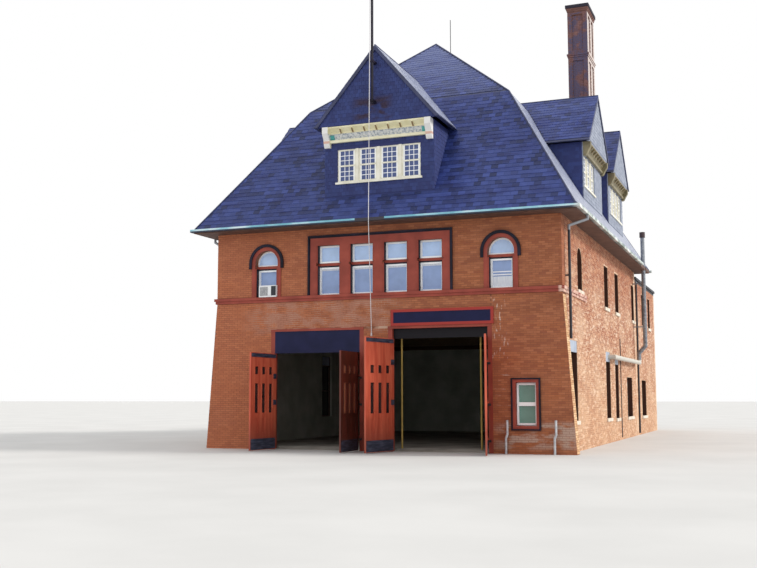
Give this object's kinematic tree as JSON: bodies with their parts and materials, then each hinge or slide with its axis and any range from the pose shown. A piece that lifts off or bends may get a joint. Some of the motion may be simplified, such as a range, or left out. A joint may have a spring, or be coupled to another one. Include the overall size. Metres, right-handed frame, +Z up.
{
  "type": "fire station building",
  "caption": "Two-storey brick fire station with a double-pitched hip roof, gabled dormers, vehicle bays with side-hinged doors, a tall chimney and a flat-roofed rear wing",
  "frame": {"origin": "middle of the building's plan, at the underside of the ground slab", "axes": "+X to the right along the front seen from the street, +Y from the front into the depth, +Z up"},
  "size_m": [14.54, 27.7854, 18.55],
  "materials": {
    "brick": "coursed brick, weathered",
    "side_brick": "coursed brick, sun-bleached, lime streaks",
    "red_trim": "painted",
    "stone_band": "dressed stone",
    "navy_trim": "painted",
    "slate": "slates",
    "shingle": "weathered shingles",
    "cream_wood": "painted",
    "white_wood": "painted",
    "glass": "clear",
    "concrete": "floated",
    "timber": "boarded",
    "dark_soffit": "painted",
    "green_metal": "painted",
    "black_iron": "painted",
    "galvanised": "galvanised, dull",
    "door_red": "painted",
    "yellow_metal": "painted",
    "white_metal": "painted",
    "rope": "twisted"
  },
  "bodies": {
    "building": {"ground_slab": "concrete", "left_pier": "brick", "centre_pier": "brick", "right_pier": "brick", "front_spandrel_wall": "brick", "front_upper_wall": "brick", "string_course": "red_trim", "front_window_surrounds": "red_trim", "front_mouldings": "navy_trim", "transom_bars": "red_trim", "front_sashes": "white_wood", "side_and_rear_sashes": "white_wood", "window_glass": "glass", "window_sills": "stone_band", "infill_panels": "galvanised", "window_air_conditioner": "white_metal", "main_side_walls": "side_brick", "main_rear_wall": "side_brick", "wing_side_walls": "side_brick", "wing_rear_wall": "side_brick", "wing_roof": "slate", "wing_coping": "navy_trim", "upper_floor": "timber", "attic_floor": "timber", "bay_frames": "red_trim", "bay_header_panels": "navy_trim", "sign_board": "navy_trim", "guard_posts": "yellow_metal", "hinge_pintles": "black_iron", "lower_roof_ends": "slate", "lower_roof_sides": "slate", "upper_roof": "slate", "soffit": "dark_soffit", "gutters": "green_metal", "chimney": "brick", "lightning_rod": "black_iron", "flagpole": "navy_trim", "halyard": "rope", "flue_stack": "galvanised", "downspouts": "black_iron", "standpipes": "galvanised", "dormer_walls": "shingle", "dormer_roofs": "slate", "dormer_gables": "shingle", "dormer_cornices": "cream_wood", "dormer_windows": "cream_wood"},
    "left_bay_left_door": {"left_bay_left_door": "door_red"},
    "left_bay_right_door": {"left_bay_right_door": "door_red"},
    "right_bay_left_door": {"right_bay_left_door": "door_red"},
    "right_bay_right_door": {"right_bay_right_door": "door_red"}
  },
  "joints": [
    {"name": "left_bay_left_door_hinge", "type": "hinge", "parent": "building", "child": "left_bay_left_door", "pos_m": [-4.065, -13.04, 0], "axis": [0, 0, 1], "range_deg": [-12, 95]},
    {"name": "left_bay_right_door_hinge", "type": "hinge", "parent": "building", "child": "left_bay_right_door", "pos_m": [-0.725, -13.04, 0], "axis": [0, 0, 1], "range_deg": [-92, 15]},
    {"name": "right_bay_left_door_hinge", "type": "hinge", "parent": "building", "child": "right_bay_left_door", "pos_m": [0.508, -13.04, 0], "axis": [0, 0, 1], "range_deg": [-4, 103]},
    {"name": "right_bay_right_door_hinge", "type": "hinge", "parent": "building", "child": "right_bay_right_door", "pos_m": [3.938, -13.04, 0], "axis": [0, 0, 1], "range_deg": [-105, 2]}
  ]
}
